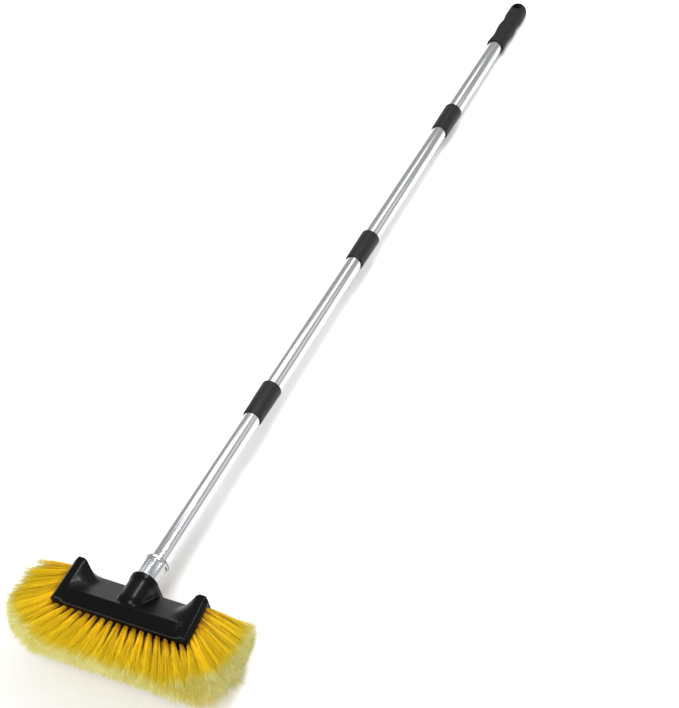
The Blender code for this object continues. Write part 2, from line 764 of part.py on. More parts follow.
def make_grip(start):
    end = start + GRIP_LENGTH
    dome_start = end - GRIP_RADIUS
    bore = TUBE_RADIUS + FIT_GAP
    profile = [(0, end)]
    dome_steps = 2 * DOME_STEPS
    for step in range(1, dome_steps):
        angle = math.pi / 2 * step / dome_steps
        profile.append((GRIP_RADIUS * math.sin(angle), dome_start + GRIP_RADIUS * math.cos(angle)))
    body = dome_start - start - GRIP_EDGE
    for step in range(GRIP_PROFILE_STEPS + 1):
        share = 1 - step / GRIP_PROFILE_STEPS
        along = start + GRIP_EDGE + body * share
        profile.append((grip_radius((along - start) / GRIP_LENGTH), along))
    profile += [
        (GRIP_RADIUS - GRIP_EDGE, start), (bore, start), (bore, start + GRIP_SOCKET_DEPTH),
        (0, start + GRIP_SOCKET_DEPTH),
    ]
    grip = lathe("grip", profile, pole_frame, "grip_rubber")
    centre = end - HOLE_END_MARGIN - HOLE_LENGTH / 2
    offset = (HOLE_LENGTH - HOLE_WIDTH) / 2
    outline = []
    for turn, middle in ((0, centre + offset), (math.pi, centre - offset)):
        for step in range(HOLE_STEPS + 1):
            angle = turn + math.pi * step / HOLE_STEPS
            outline.append((HOLE_WIDTH / 2 * math.cos(angle), middle + HOLE_WIDTH / 2 * math.sin(angle)))
    through = GRIP_RADIUS + OVERRUN
    hole = prism("hanging_hole", outline, -through, through, pole_frame, Matrix.Rotation(math.pi / 2, 4, 'X'))
    combine(grip, hole, 'DIFFERENCE')
    return grip


def make_pole():
    make_tip_connector()
    make_tip_rivet()
    mouth = FIT_GAP + TIP_LENGTH + FIRST_TUBE_SHOWN + COUPLER_LENGTH
    tube_start = FIT_GAP + TIP_FLOOR + FIT_GAP
    for number in (1, 2, 3):
        tube_end = mouth - JOINT_DEPTH - COUPLER_WEB - 3 * FIT_GAP
        make_tube(f"tube_{number}", tube_start, tube_end, piloted=number > 1)
        make_coupler(f"coupler_{number}", mouth)
        tube_start = mouth - JOINT_DEPTH
        mouth = tube_start + MIDDLE_LENGTH
    grip_start = tube_start + LAST_LENGTH - GRIP_LENGTH
    make_tube("tube_4", tube_start, grip_start + GRIP_SOCKET_DEPTH - FIT_GAP, piloted=True)
    make_grip(grip_start)
    return grip_start + GRIP_LENGTH


def pole_length():
    mouth = FIT_GAP + TIP_LENGTH + FIRST_TUBE_SHOWN + COUPLER_LENGTH
    return mouth + 2 * (MIDDLE_LENGTH - JOINT_DEPTH) - JOINT_DEPTH + LAST_LENGTH


def mouth_above_floor():
    """Height of the socket's mouth when the grip's end swell touches the floor."""
    contact = pole_length() - SEAT_DEPTH - GRIP_RADIUS
    return contact * math.sin(REST_SLOPE) + GRIP_RADIUS * math.cos(REST_SLOPE)


def head_placement():
    """Head frame in the world: turned so that the pole falls along +X at its rest slope."""
    tilt = POLE_RISE + REST_SLOPE
    turn = Matrix.Rotation(-math.pi / 2, 4, 'Z') @ Matrix.Rotation(-tilt, 4, 'X')
    mouth = turn @ Vector((0, MOUTH_OFFSET, MOUTH_HEIGHT))
    return Matrix.Translation((0, 0, mouth_above_floor() - mouth.z)) @ turn


def centre_on_origin():
    """Puts the whole brush's box over the world origin."""
    bpy.context.view_layer.update()
    graph = bpy.context.evaluated_depsgraph_get()
    corners = []
    for item in parts.objects:
        if item.type == 'MESH':
            seen = item.evaluated_get(graph)
            corners += [item.matrix_world @ Vector(corner) for corner in seen.bound_box]
    for axis in (0, 1):
        values = [corner[axis] for corner in corners]
        rest_frame.location[axis] -= (min(values) + max(values)) / 2


clear_scene()
parts = new_collection("car_wash_brush")
cutters = new_collection("cutters")
skins = {name: skin(name) for name in SKIN_COLOURS}
head_to_world = head_placement()
rest_frame = empty("rest_frame")
head_frame = empty("head_frame", rest_frame, head_to_world.to_translation(), head_to_world.to_euler())
socket_frame = empty(
    "socket_frame", head_frame, (0, MOUTH_OFFSET, MOUTH_HEIGHT), (POLE_RISE - math.pi / 2, 0, 0)
)
pole_frame = empty("pole_frame", socket_frame, (0, 0, -SEAT_DEPTH))
bpy.context.view_layer.update()

make_head_block()
for row_number in range(SIDE_ROWS):
    make_side_row(f"front_bristle_row_{row_number + 1}", -1, row_number)
    make_side_row(f"rear_bristle_row_{row_number + 1}", 1, row_number)
for row_number in range(BASE_ROWS):
    make_base_row(f"base_bristle_row_{row_number + 1}", row_number)
for row_number in range(len(END_ROW_COLUMNS)):
    make_end_row(f"left_bristle_row_{row_number + 1}", 1, row_number)
    make_end_row(f"right_bristle_row_{row_number + 1}", -1, row_number)
make_pole()
centre_on_origin()
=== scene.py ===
import json
import math

import bpy
import numpy as np
from mathutils import Matrix, Vector


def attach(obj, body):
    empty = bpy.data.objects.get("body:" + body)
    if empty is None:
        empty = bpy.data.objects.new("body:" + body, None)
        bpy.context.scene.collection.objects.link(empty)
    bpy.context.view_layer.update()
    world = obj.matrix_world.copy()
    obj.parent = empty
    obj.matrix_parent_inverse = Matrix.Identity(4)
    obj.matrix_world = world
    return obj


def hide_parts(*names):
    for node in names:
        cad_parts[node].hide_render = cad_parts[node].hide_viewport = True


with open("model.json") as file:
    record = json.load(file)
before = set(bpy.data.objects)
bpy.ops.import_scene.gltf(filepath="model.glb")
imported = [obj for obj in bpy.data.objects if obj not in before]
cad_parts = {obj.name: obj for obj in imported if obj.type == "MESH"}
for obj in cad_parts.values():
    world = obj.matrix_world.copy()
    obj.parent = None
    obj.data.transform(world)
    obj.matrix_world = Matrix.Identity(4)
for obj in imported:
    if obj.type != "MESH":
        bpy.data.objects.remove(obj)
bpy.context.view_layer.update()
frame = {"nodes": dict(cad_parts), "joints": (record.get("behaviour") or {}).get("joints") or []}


# Head block: one injection moulding in black polypropylene, with a rounded ridge at each end, coves
# down to the deck and a slanting boss for the pole. Every edge of the mould has a radius of about a
# millimetre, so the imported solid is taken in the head's own frame, remeshed and rounded all over.
HEAD_TILT = math.radians(33.5)
SOCKET_RISE = math.radians(30)
SOCKET_MOUTH = Vector((0, 0.026, 0.0347))
SOCKET_SEAT = 0.005
MOULD_CELL = 0.0009
MOULD_ROUNDING_PASSES = 4
COVE_SMOOTHING_PASSES = 40
SMOOTHING_STRENGTH = 0.5
WELD = 0.00002

pole_turn = next(joint for joint in frame["joints"] if joint["name"] == "head_thread_turn")
pole_seat = Vector(pole_turn["pos_m"])
head_turn = Matrix.Rotation(-math.pi / 2, 4, "Z") @ Matrix.Rotation(-HEAD_TILT, 4, "X")
seat_in_head = SOCKET_MOUTH - SOCKET_SEAT * Vector((0, math.cos(SOCKET_RISE), math.sin(SOCKET_RISE)))
head_place = Matrix.Translation(pole_seat - head_turn @ seat_in_head) @ head_turn


def linear(hex_colour):
    """A colour written as sRGB hex, in the linear values that a shader takes."""
    parts = [int(hex_colour[i:i + 2], 16) / 255 for i in (1, 3, 5)]
    return [c / 12.92 if c <= 0.04045 else ((c + 0.055) / 1.055) ** 2.4 for c in parts] + [1.0]


def add_node(material, kind, settings=None, **links):
    """Adds a shader node: settings go on it or its sockets, links name the sockets they feed."""
    made = material.node_tree.nodes.new(kind)
    for key, value in (settings or {}).items():
        if isinstance(key, int) or key in made.inputs:
            made.inputs[key].default_value = value
        else:
            setattr(made, key, value)
    for key, source in links.items():
        target = made.inputs[int(key[1:])] if key[1:].isdigit() else made.inputs[key.replace("_", " ")]
        material.node_tree.links.new(source, target)
    return made


def new_material(name, colour, **surface):
    """A named material with its principled shader set for one finish."""
    material = bpy.data.materials.new(name)
    material.use_nodes = True
    shader = material.node_tree.nodes["Principled BSDF"]
    shader.inputs["Base Color"].default_value = linear(colour)
    for key, value in surface.items():
        shader.inputs[key.replace("_", " ")].default_value = value
    return material, shader


def select_only(item):
    bpy.ops.object.select_all(action="DESELECT")
    item.select_set(True)
    bpy.context.view_layer.objects.active = item


def settle(item, matrix):
    """Moves a finished piece to its place and leaves its object at the origin, unturned."""
    select_only(item)
    item.matrix_world = matrix @ item.matrix_world
    bpy.context.view_layer.update()
    bpy.ops.object.transform_apply(location=True, rotation=True, scale=True)


def apply_modifier(item, kind, **settings):
    select_only(item)
    modifier = item.modifiers.new(kind.lower(), kind)
    for key, value in settings.items():
        setattr(modifier, key, value)
    bpy.ops.object.modifier_apply(modifier=modifier.name)


def merged_copy(node, name, frame_of=None):
    """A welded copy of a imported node's mesh, moved into a piece's own frame to be worked on."""
    item = bpy.data.objects.new(name, frame["nodes"][node].data.copy())
    bpy.context.scene.collection.objects.link(item)
    item.data.materials.clear()
    if frame_of is not None:
        settle(item, frame_of.inverted())
    select_only(item)
    bpy.ops.object.mode_set(mode="EDIT")
    bpy.ops.mesh.select_all(action="SELECT")
    bpy.ops.mesh.remove_doubles(threshold=WELD)
    bpy.ops.object.mode_set(mode="OBJECT")
    return item


def smooth(item, degrees=180):
    select_only(item)
    if degrees >= 180:
        bpy.ops.object.shade_smooth()
    else:
        bpy.ops.object.shade_smooth_by_angle(angle=math.radians(degrees))


# moulded polypropylene: a satin, spark-eroded skin whose fine grain softens the highlights
black_moulding, shader = new_material("moulded_black_polypropylene", "#060607", Roughness=0.30,
                                      Specular_IOR_Level=0.15)
place_coords = add_node(black_moulding, "ShaderNodeTexCoord")
grain = add_node(black_moulding, "ShaderNodeTexNoise", {"Scale": 2200.0, "Detail": 2.0},
                 Vector=place_coords.outputs["Object"])
cloud = add_node(black_moulding, "ShaderNodeTexNoise", {"Scale": 60.0, "Detail": 3.0},
                 Vector=place_coords.outputs["Object"])
polish = add_node(black_moulding, "ShaderNodeAttribute", {"attribute_name": "polish"})
polished_gloss = add_node(black_moulding, "ShaderNodeMapRange", {"To Min": 0.26, "To Max": 0.10},
                          Value=polish.outputs["Fac"])
gloss = add_node(black_moulding, "ShaderNodeMath", {"operation": "MULTIPLY_ADD", 1: 0.08},
                 _0=cloud.outputs["Fac"], _2=polished_gloss.outputs["Result"])
black_moulding.node_tree.links.new(gloss.outputs[0], shader.inputs["Roughness"])
skin_bump = add_node(black_moulding, "ShaderNodeBump", {"Strength": 0.12, "Distance": 0.0002},
                     Height=grain.outputs["Fac"])
black_moulding.node_tree.links.new(skin_bump.outputs["Normal"], shader.inputs["Normal"])

head_moulding = merged_copy("head_block", "head_moulding", head_place)
apply_modifier(head_moulding, "REMESH", mode="VOXEL", voxel_size=MOULD_CELL, adaptivity=0)
apply_modifier(head_moulding, "SMOOTH", factor=SMOOTHING_STRENGTH, iterations=MOULD_ROUNDING_PASSES)
head_moulding.data.materials.append(black_moulding)

# the mould's flats are grained and its rounded edges smooth: each point gets a polish from 0 to 1
# by how far the surface turns from it to its neighbours
EDGE_TURNS = (0.10, 0.26)
POLISH_BLURS = 2
mesh = head_moulding.data
pairs = np.empty(len(mesh.edges) * 2, dtype=np.int32)
mesh.edges.foreach_get("vertices", pairs)
pairs = pairs.reshape(-1, 2)
facing = np.empty(len(mesh.vertices) * 3)
mesh.vertex_normals.foreach_get("vector", facing)
facing = facing.reshape(-1, 3)
turning = np.linalg.norm(facing[pairs[:, 0]] - facing[pairs[:, 1]], axis=1)
curved = np.zeros(len(mesh.vertices))
neighbours = np.bincount(pairs.ravel(), minlength=len(curved))
for column in (0, 1):
    np.maximum.at(curved, pairs[:, column], turning)
curved = np.interp(curved, EDGE_TURNS, (0, 1))
for blur in range(POLISH_BLURS):
    total = np.zeros(len(curved))
    np.add.at(total, pairs[:, 0], curved[pairs[:, 1]])
    np.add.at(total, pairs[:, 1], curved[pairs[:, 0]])
    curved = (curved + total / neighbours) / 2
mesh.attributes.new("polish", "FLOAT", "POINT").data.foreach_set("value", curved.astype(np.float32))

# the broad faces and coves are smoothed further, without their edges
EDGE_GUARD = 1.5
WEIGHT_STEPS = 10
broad = head_moulding.vertex_groups.new(name="broad_faces")
levels = np.round((1 - np.clip(curved * EDGE_GUARD, 0, 1)) * WEIGHT_STEPS).astype(int)
for level in range(1, WEIGHT_STEPS + 1):
    broad.add(np.flatnonzero(levels == level).tolist(), level / WEIGHT_STEPS, "REPLACE")
apply_modifier(head_moulding, "SMOOTH", factor=SMOOTHING_STRENGTH, iterations=COVE_SMOOTHING_PASSES,
               vertex_group="broad_faces")
head_moulding.vertex_groups.clear()
smooth(head_moulding)
settle(head_moulding, head_place)
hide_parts("head_block")
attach(head_moulding, "head")


# Tuft beds: the faces of the same black moulding that the tufts are stapled into, a core with a bevel
# to the front and the rear, and an end face under each ridge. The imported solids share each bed
# with its row of tufts, so the beds are made here as one piece under them.
BEVEL_SLOPE = math.radians(54)
BEVEL_INSIDE = 0.0345
BED_THICKNESS = 0.004
BED_BEVEL_LENGTH = 0.0183
BEVEL_TOP = 0.0026
BED_TOP = 0.0042
BED_DEPTH = BED_BEVEL_LENGTH * math.sin(BEVEL_SLOPE) - BEVEL_TOP + BED_TOP
BED_END = 0.0985
BED_HALF_WIDTH = 0.0330
BED_BLANK_HALF_WIDTH = 0.05
BED_EDGE = 0.0006
END_LEAN = 0.0625
END_BED_INSIDE = 0.084
END_BED_OUTSIDE = 0.0995
END_BED_BLANK_TOP = 0.04
END_BED_RISE = 0.002
RIDGE_FRONT_HEIGHT = 0.0090
RIDGE_PEAK_HEIGHT = 0.048
RIDGE_PEAK_PLACE = 0.013
RIDGE_REAR_HEIGHT = 0.0095
BLOCK_HALF_WIDTH = 0.040
SKIRT = 0.0125


def box_between(name, low, high):
    """A box from its lowest to its highest corner, to be cut to shape."""
    bpy.ops.object.select_all(action="DESELECT")
    middle = (Vector(low) + Vector(high)) / 2
    bpy.ops.mesh.primitive_cube_add(size=1, location=middle)
    item = bpy.context.object
    item.name = name
    item.scale = Vector(high) - Vector(low)
    bpy.ops.object.transform_apply(location=True, rotation=True, scale=True)
    return item


def cut_away(item, point, outward):
    """Cuts off what lies beyond a plane and closes the cut."""
    select_only(item)
    bpy.ops.object.mode_set(mode="EDIT")
    bpy.ops.mesh.select_all(action="SELECT")
    bpy.ops.mesh.bisect(plane_co=point, plane_no=outward, use_fill=True, clear_outer=True)
    bpy.ops.object.mode_set(mode="OBJECT")


bed = box_between("tuft_bed", (-BED_END, -BED_BLANK_HALF_WIDTH, -BED_DEPTH),
                  (BED_END, BED_BLANK_HALF_WIDTH, BED_TOP))
bevel_out = Vector((0, math.sin(BEVEL_SLOPE), -math.cos(BEVEL_SLOPE)))
bevel_point = Vector((0, BEVEL_INSIDE, BEVEL_TOP)) + bevel_out * BED_THICKNESS
cut_away(bed, bevel_point, bevel_out)
mirrored = Vector((1, -1, 1))
cut_away(bed, bevel_point * mirrored, bevel_out * mirrored)
front_climb = Vector((0, RIDGE_PEAK_PLACE + BLOCK_HALF_WIDTH, RIDGE_PEAK_HEIGHT - RIDGE_FRONT_HEIGHT))
rear_fall = Vector((0, BLOCK_HALF_WIDTH - RIDGE_PEAK_PLACE, RIDGE_REAR_HEIGHT - RIDGE_PEAK_HEIGHT))
peak = Vector((0, RIDGE_PEAK_PLACE, RIDGE_PEAK_HEIGHT - SKIRT + END_BED_RISE))
for side in (-1, 1):
    cut_away(bed, (side * BED_END, 0, 0), (side, 0, END_LEAN))
    lowest, highest = sorted((side * END_BED_INSIDE, side * END_BED_OUTSIDE))
    end_face = box_between("end_bed", (lowest, -BED_HALF_WIDTH, -BED_DEPTH),
                           (highest, BED_HALF_WIDTH, END_BED_BLANK_TOP))
    cut_away(end_face, (side * BED_END, 0, 0), (side, 0, END_LEAN))
    cut_away(end_face, peak, (0, -front_climb.z, front_climb.y))
    cut_away(end_face, peak, (0, -rear_fall.z, rear_fall.y))
    bed.select_set(True)
    end_face.select_set(True)
    bpy.context.view_layer.objects.active = bed
    bpy.ops.object.join()
apply_modifier(bed, "BEVEL", width=BED_EDGE, segments=2, limit_method="ANGLE", angle_limit=math.radians(25))
smooth(bed, 30)
bed.data.materials.append(black_moulding)
settle(bed, head_place)
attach(bed, "head")


# Tufts: crimped plastic filaments, split (flagged) at their tips so that they turn soft and pale
# there. One to three hundred filaments are folded over a staple in each hole, in rows that fan
# out along the head and across it, and all are trimmed to one rounded shape.
TUFT_SPACING = 0.0112
TUFT_ROW_SPACING = 0.0093
TUFT_COLUMNS = 17
BLOCK_HALF_LENGTH = 0.101
UNDERSIDE = -0.0124
SIDE_FAN = math.radians(50)
LENGTH_FAN = math.radians(40)
END_FAN = math.radians(42)
END_DROP_TOP = math.radians(12)
END_DROP_BOTTOM = math.radians(48)
TUFT_LENGTH = 0.066
END_TUFT_LENGTH = 0.086
HOLE_RADIUS = 0.0026
ROOT_DEPTH = 0.0015
FILAMENT_RADIUS = 0.00024
FILAMENT_SIDES = 3
FILAMENT_RINGS = 6
FLOOR_GAP = 0.0001

# the trim is a rounded box, squarer at the deck than at the tips; the end at the picture's right
# is cut shorter, and the other is rounder
TRIM_HEIGHT = 0.076
TRIM_HALF_LENGTH = 0.175
TRIM_HALF_WIDTH = 0.094
TRIM_ROUNDNESS = (3.6, 2.1)
LEFT_END_CUT = 0.014
RIGHT_END_ROUNDING = 0.7
TRIM_HALVINGS = 12
LEAST_FALL = 0.001

# a tuft opens from its hole in bunches, and the outermost tufts of a row have stray filaments that
# lean toward the head's corner: the axis, half the row, the share that has none, and the most lean
TUFT_SPREADS = {"long": 0.13125, "end": 0.15625}
CORNER_STRAYS = {"long": (0, BLOCK_HALF_LENGTH, 0.70, 1.5), "end": (1, BED_HALF_WIDTH, 0.60, 1.1)}
STRAY_RARITY = 1.5
OUTER_BUNCHES = 6
INNER_BUNCHES = 3
BUNCHES = OUTER_BUNCHES + INNER_BUNCHES
INNER_RING_SHARE = 0.5
BUNCH_PULL = 0.55
FILAMENT_LEAN = 0.016
BUNCH_LEAN = 0.017
TUFT_LEAN = 0.02

# no two filaments end alike: each is a little bent, crimped and short, and its split tip splays
TRIM_MARGIN = 0.0006
FILAMENT_UNEVENNESS = 0.0009
BUNCH_UNEVENNESS = 0.0010
WORN_SHARE = 0.05
BEND = 0.0014
TIP_SPLAY = 0.0030
CRIMP_DEPTH = 0.0005
CRIMP_TURN = 9
ROOT_SWELL = 1.25
TAPER = 0.75
ASKEW = np.array([0.31, 0.82, 0.48])
head_to_world = np.array(head_place)


def in_world(ways):
    """Directions in the head's frame, as directions in the scene."""
    return ways @ head_to_world[:3, :3].T


def unit(ways):
    return ways / np.linalg.norm(ways, axis=1)[:, None]


def on_circle(side_a, side_b, angle):
    """Points at given angles on unit circles, each spanned by two directions of its own."""
    return side_a * np.cos(angle)[:, None] + side_b * np.sin(angle)[:, None]


def filament_directions(kind, roots, across):
    """The way filaments at given roots point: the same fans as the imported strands."""
    if kind == "end":
        side = np.sign(roots[:, 0])
        fan = roots[:, 1] / BLOCK_HALF_WIDTH * END_FAN
        down = (RIDGE_PEAK_HEIGHT - roots[:, 2]) / (RIDGE_PEAK_HEIGHT - UNDERSIDE)
        drop = END_DROP_TOP + down * (END_DROP_BOTTOM - END_DROP_TOP)
        way = np.stack([side, np.tan(fan), -np.tan(drop)], axis=1)
    else:
        lengthwise = roots[:, 0] / BLOCK_HALF_LENGTH * LENGTH_FAN
        crosswise = np.full(len(roots), across * SIDE_FAN)
        way = np.stack([np.tan(lengthwise), np.sin(crosswise), -np.cos(crosswise)], axis=1)
    return way


def stop_at_level(length, heights, falls):
    """Shortens the filaments that would fall through a level, from their heights over it."""
    falling = falls < -LEAST_FALL
    length[falling] = np.minimum(length[falling], heights[falling] / -falls[falling])


def trimmed_lengths(kind, roots, way):
    """Length of each filament: its own, or less where the trimmed outline or the floor is nearer."""
    if kind == "end":
        length = np.where(roots[:, 0] > 0, END_TUFT_LENGTH - LEFT_END_CUT, END_TUFT_LENGTH)
    else:
        length = TUFT_LENGTH / np.linalg.norm(way[:, 1:], axis=1)
    stop_at_level(length, roots[:, 2] + TRIM_HEIGHT, way[:, 2])
    stop_at_level(length, (in_world(roots) + head_to_world[:3, 3])[:, 2], in_world(way)[:, 2])
    shortest = np.zeros(len(roots))
    longest = length.copy()
    for halving in range(TRIM_HALVINGS):
        middle = (shortest + longest) / 2
        tips = roots + way * middle[:, None]
        reach = np.where(tips[:, 0] > 0, TRIM_HALF_LENGTH - LEFT_END_CUT, TRIM_HALF_LENGTH)
        roundness = np.interp(-tips[:, 2] / TRIM_HEIGHT, (0, 1), TRIM_ROUNDNESS)
        roundness -= np.where(tips[:, 0] < 0, RIGHT_END_ROUNDING, 0)
        along_share = (np.abs(tips[:, 0]) / reach) ** roundness
        across_share = (np.abs(tips[:, 1]) / TRIM_HALF_WIDTH) ** roundness
        outside = along_share + across_share > 1
        longest = np.where(outside, middle, longest)
        shortest = np.where(outside, shortest, middle)
    return np.minimum(length, longest)


def bunches_of(tuft_of, angle, off):
    """The bunch that each filament belongs to: by its angle, in an outer or an inner ring."""
    bunch_of = tuft_of * BUNCHES + (angle / (2 * math.pi) * OUTER_BUNCHES).astype(int)
    inner = off < INNER_RING_SHARE
    bunch_of[inner] = tuft_of[inner] * BUNCHES + OUTER_BUNCHES + bunch_of[inner] % INNER_BUNCHES
    return bunch_of


def gathered(across_hole, bunch_of, bunches):
    """Places in the hole's mouth, each drawn toward the middle of its bunch."""
    bunch_size = np.maximum(np.bincount(bunch_of, minlength=bunches), 1)[:, None]
    bunch_sum = np.zeros((bunches, 3))
    np.add.at(bunch_sum, bunch_of, across_hole)
    return across_hole * (1 - BUNCH_PULL) + (bunch_sum / bunch_size)[bunch_of] * BUNCH_PULL


def filament_mesh(name, points, tone):
    """Three-sided filaments, closed at the tip, as one mesh; its UV map holds tone and height."""
    total = len(points)
    world = in_world(points.reshape(-1, 3)) + head_to_world[:3, 3]
    world[:, 2] = np.maximum(world[:, 2], FLOOR_GAP)
    sides = []
    for ring in range(FILAMENT_RINGS - 1):
        for corner in range(FILAMENT_SIDES):
            here = ring * FILAMENT_SIDES + corner
            following = ring * FILAMENT_SIDES + (corner + 1) % FILAMENT_SIDES
            sides.append((here, following, following + FILAMENT_SIDES, here + FILAMENT_SIDES))
    points_each = FILAMENT_SIDES * FILAMENT_RINGS
    first_points = np.arange(total) * points_each
    side_corners = (first_points[:, None, None] + np.array(sides)).ravel()
    tip_corners = (first_points[:, None] + np.arange(points_each - FILAMENT_SIDES, points_each)).ravel()
    corners = np.concatenate([side_corners, tip_corners])
    side_starts = np.arange(total * len(sides)) * 4
    tip_starts = len(side_corners) + np.arange(total) * FILAMENT_SIDES
    mesh = bpy.data.meshes.new(name)
    mesh.vertices.add(len(world))
    mesh.vertices.foreach_set("co", world.astype(np.float32).ravel())
    mesh.loops.add(len(corners))
    mesh.loops.foreach_set("vertex_index", corners.astype(np.int32))
    mesh.polygons.add(len(side_starts) + total)
    mesh.polygons.foreach_set("loop_start", np.concatenate([side_starts, tip_starts]).astype(np.int32))
    mesh.update(calc_edges=True)
    height = corners % points_each // FILAMENT_SIDES / (FILAMENT_RINGS - 1)
    layer = mesh.uv_layers.new(name="UVMap")
    tone_and_height = np.stack([tone[corners // points_each], height], axis=1)
    layer.data.foreach_set("uv", tone_and_height.astype(np.float32).ravel())
    item = bpy.data.objects.new(name, mesh)
    bpy.context.scene.collection.objects.link(item)
    return item


def tuft_row(name, kind, centres, normals, across, filaments, node, seed):
    """All filaments of one row of tufts, as one mesh that stands for the row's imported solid."""
    luck = np.random.default_rng(seed)
    tufts = len(centres)
    bunches = tufts * BUNCHES
    total = tufts * filaments
    tuft_of = np.repeat(np.arange(tufts), filaments)
    middle = np.array(centres)[tuft_of]
    normal = np.array(normals)[tuft_of]
    beside = unit(np.cross(normal, ASKEW))
    angle = luck.uniform(0, 2 * math.pi, total)
    off = np.sqrt(luck.uniform(0, 1, total))
    across_hole = on_circle(beside, np.cross(normal, beside), angle) * off[:, None]
    roots = middle + across_hole * HOLE_RADIUS - normal * ROOT_DEPTH

    way = unit(filament_directions(kind, middle, across))
    stray_axis, half_row, inner_share, most_lean = CORNER_STRAYS[kind]
    from_middle = middle[:, stray_axis]
    outward = np.clip(np.abs(from_middle) / half_row - inner_share, 0, 1) * np.sign(from_middle)
    way[:, stray_axis] += outward * most_lean * luck.uniform(0, 1, total) ** STRAY_RARITY
    bunch_of = bunches_of(tuft_of, angle, off)
    way = way + gathered(across_hole, bunch_of, bunches) * TUFT_SPREADS[kind]
    way += luck.normal(0, FILAMENT_LEAN, (total, 3))
    way += luck.normal(0, BUNCH_LEAN, (bunches, 3))[bunch_of]
    way += luck.normal(0, TUFT_LEAN, (tufts, 3))[tuft_of]
    way = unit(way)

    length = trimmed_lengths(kind, roots, way) + luck.normal(0, FILAMENT_UNEVENNESS, total) - TRIM_MARGIN
    length -= np.abs(luck.normal(0, BUNCH_UNEVENNESS, bunches))[bunch_of]
    length *= 1 - WORN_SHARE * luck.uniform(0, 1, total) ** 3
    bend = np.cross(way, luck.normal(0, 1, (total, 3)))
    crimp = luck.uniform(0, 2 * math.pi, total)
    tone = 0.5 * luck.uniform(0, 1, total) + 0.5 * luck.uniform(0, 1, bunches)[bunch_of]
    side_a = unit(np.cross(way, beside))
    side_b = np.cross(way, side_a)
    rings = []
    for share in np.linspace(0, 1, FILAMENT_RINGS):
        along = roots + way * (length * share)[:, None]
        along = along + bend * (BEND * share ** 2 + TIP_SPLAY * share ** 8)
        along = along + side_a * (CRIMP_DEPTH * np.sin(crimp + CRIMP_TURN * share))[:, None]
        width = FILAMENT_RADIUS * (ROOT_SWELL - TAPER * share)
        for corner in range(FILAMENT_SIDES):
            turn = crimp + corner * 2 * math.pi / FILAMENT_SIDES
            rings.append(along + on_circle(side_a, side_b, turn) * width)
    item = filament_mesh(name, np.stack(rings, axis=1), tone)
    smooth(item)
    item.data.materials.append(golden_filament)
    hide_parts(node)
    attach(item, "head")


# dyed polystyrene filament: golden and glossy along its length, pale lemon where the tip is split,
# and darkened to brown toward the root by painted shade, where the filaments crowd into their hole;
# the UV map runs from root to tip in V and holds a tone for each filament in U
golden_filament, shader = new_material("dyed_polystyrene_filament", "#f7ce0d", Roughness=0.5, IOR=1.59,
                                       Specular_IOR_Level=0.2)
filament_map = add_node(golden_filament, "ShaderNodeUVMap", {"uv_map": "UVMap"})
split = add_node(golden_filament, "ShaderNodeSeparateXYZ", None, Vector=filament_map.outputs["UV"])
shift = add_node(golden_filament, "ShaderNodeMath", {"operation": "MULTIPLY_ADD", 1: 0.22, 2: -0.12},
                 _0=split.outputs["X"])
height = add_node(golden_filament, "ShaderNodeMath", {"operation": "ADD"},
                  _0=split.outputs["Y"], _1=shift.outputs[0])
root_shade_and_tip_ramp = add_node(golden_filament, "ShaderNodeValToRGB", None, Fac=height.outputs[0])
stops = root_shade_and_tip_ramp.color_ramp.elements
# the brown first stop is painted shade at the root; the pale last stops are the split tips' own colour
stops[0].position, stops[0].color = 0.0, linear("#b57d06")
stops[1].position, stops[1].color = 1.0, linear("#f2f1ac")
for position, colour in ((0.22, "#fbcc0c"), (0.80, "#ffdf16"), (0.91, "#f2e262")):
    stop = stops.new(position)
    stop.color = linear(colour)
strand_tone = add_node(golden_filament, "ShaderNodeMapRange", {"To Min": 0.68, "To Max": 1.14},
                       Value=split.outputs["X"])
toned = add_node(golden_filament, "ShaderNodeHueSaturation", None,
                 Color=root_shade_and_tip_ramp.outputs["Color"], Value=strand_tone.outputs["Result"])
golden_filament.node_tree.links.new(toned.outputs["Color"], shader.inputs["Base Color"])


# rows of holes: two on each bevel, five on the underside, four in each end, which follow its ridge
FAN_ROWS = 4.5
BEVEL_FILAMENTS = (230, 140)
UNDERSIDE_ROWS = 5
UNDERSIDE_FILAMENTS = 110
END_ROWS = ((11, 0.0310, 330), (9, 0.0265, 270), (6, 0.0185, 210), (3, 0.0095, 210))
END_ROW_DROP = 0.016635
END_ROW_SPACING = 0.0103


def hole_places(columns):
    """Places of a row's holes along the head, even on both sides of its middle."""
    return [(column - (columns - 1) / 2) * TUFT_SPACING for column in range(columns)]


def bevel_row(side, row, columns):
    """Centres and outward normals of the holes in one row on the front or rear bevel."""
    down = (row + 0.5) * TUFT_ROW_SPACING
    slope_down = Vector((-math.cos(BEVEL_SLOPE), -math.sin(BEVEL_SLOPE)))
    slope_out = Vector((math.sin(BEVEL_SLOPE), -math.cos(BEVEL_SLOPE)))
    point = Vector((BEVEL_INSIDE, BEVEL_TOP)) + slope_down * down + slope_out * BED_THICKNESS
    normal = (0, side * slope_out.x, slope_out.y)
    return [(x, side * point.x, point.y) for x in hole_places(columns)], [normal] * columns


def ridge_height(across):
    """Height of the end wall's ridge at a distance across the head."""
    return np.interp(across, (-BLOCK_HALF_WIDTH, RIDGE_PEAK_PLACE, BLOCK_HALF_WIDTH),
                     (RIDGE_FRONT_HEIGHT, RIDGE_PEAK_HEIGHT, RIDGE_REAR_HEIGHT))


